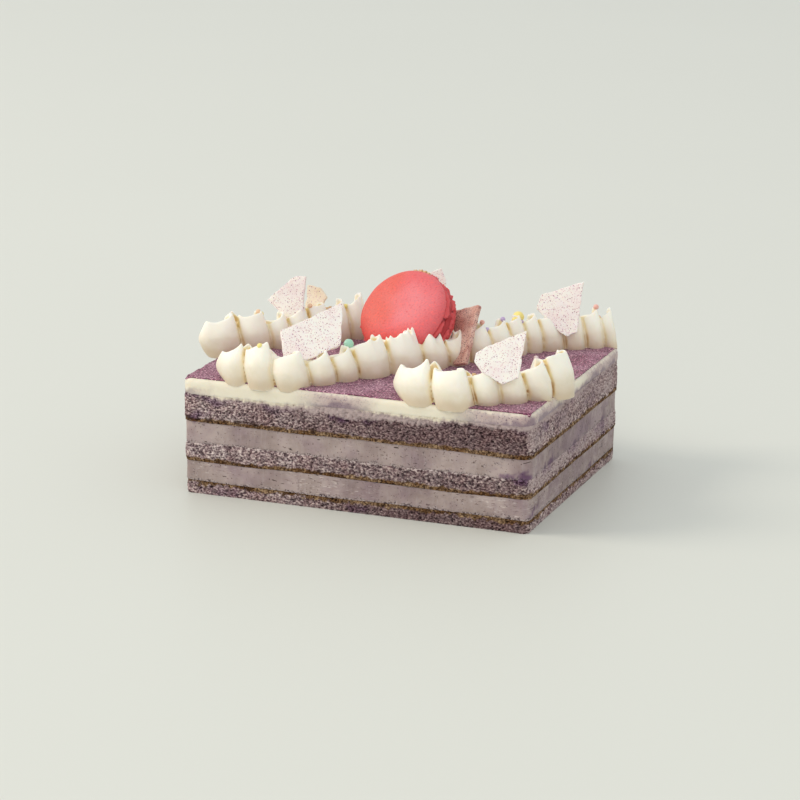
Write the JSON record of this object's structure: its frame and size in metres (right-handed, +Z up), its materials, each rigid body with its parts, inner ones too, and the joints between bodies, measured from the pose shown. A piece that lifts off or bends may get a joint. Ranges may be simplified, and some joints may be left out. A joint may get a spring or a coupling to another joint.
{
  "type": "taro mousse cake",
  "caption": "Rectangular layered mousse cake of purple sponge and lilac mousse, topped with ruffled rows of piped cream, a macaron and broken chocolate tiles.",
  "frame": {"origin": "middle of the flat underside of the cake body, on the table", "axes": "+Z up, +X along the long front side to the right, -Y out of the long front side"},
  "size_m": [0.1701, 0.1301, 0.0878],
  "materials": {
    "sponge": "open crumb of purple taro sponge, matte, with brown baked skins",
    "mousse": "smooth set mousse, pale lilac grey, soft sheen",
    "topping": "smooth white cream with a purple powder on top",
    "piped_cream": "whipped cream, warm white, satin, with small sugar pearls",
    "macaron_shell": "baked almond shell, coral pink, satin and finely grained",
    "macaron_filling": "soft red filling",
    "chocolate": "white chocolate with purple speckles, satin"
  },
  "bodies": {
    "root": {"sponge_base": "sponge", "mousse_lower": "mousse", "sponge_middle": "sponge", "mousse_upper": "mousse", "sponge_top": "sponge", "cream_topping": "topping", "piped_cream_left": "piped_cream", "piped_cream_centre": "piped_cream", "piped_cream_right": "piped_cream", "piped_cream_rest": "piped_cream", "macaron_shell_front": "macaron_shell", "macaron_filling": "macaron_filling", "macaron_shell_back": "macaron_shell", "chocolate_tile_1": "chocolate", "chocolate_tile_2": "chocolate", "chocolate_tile_3": "chocolate", "chocolate_tile_4": "chocolate", "chocolate_tile_5": "chocolate", "chocolate_tile_6": "chocolate", "chocolate_tile_7": "chocolate"}
  },
  "joints": []
}
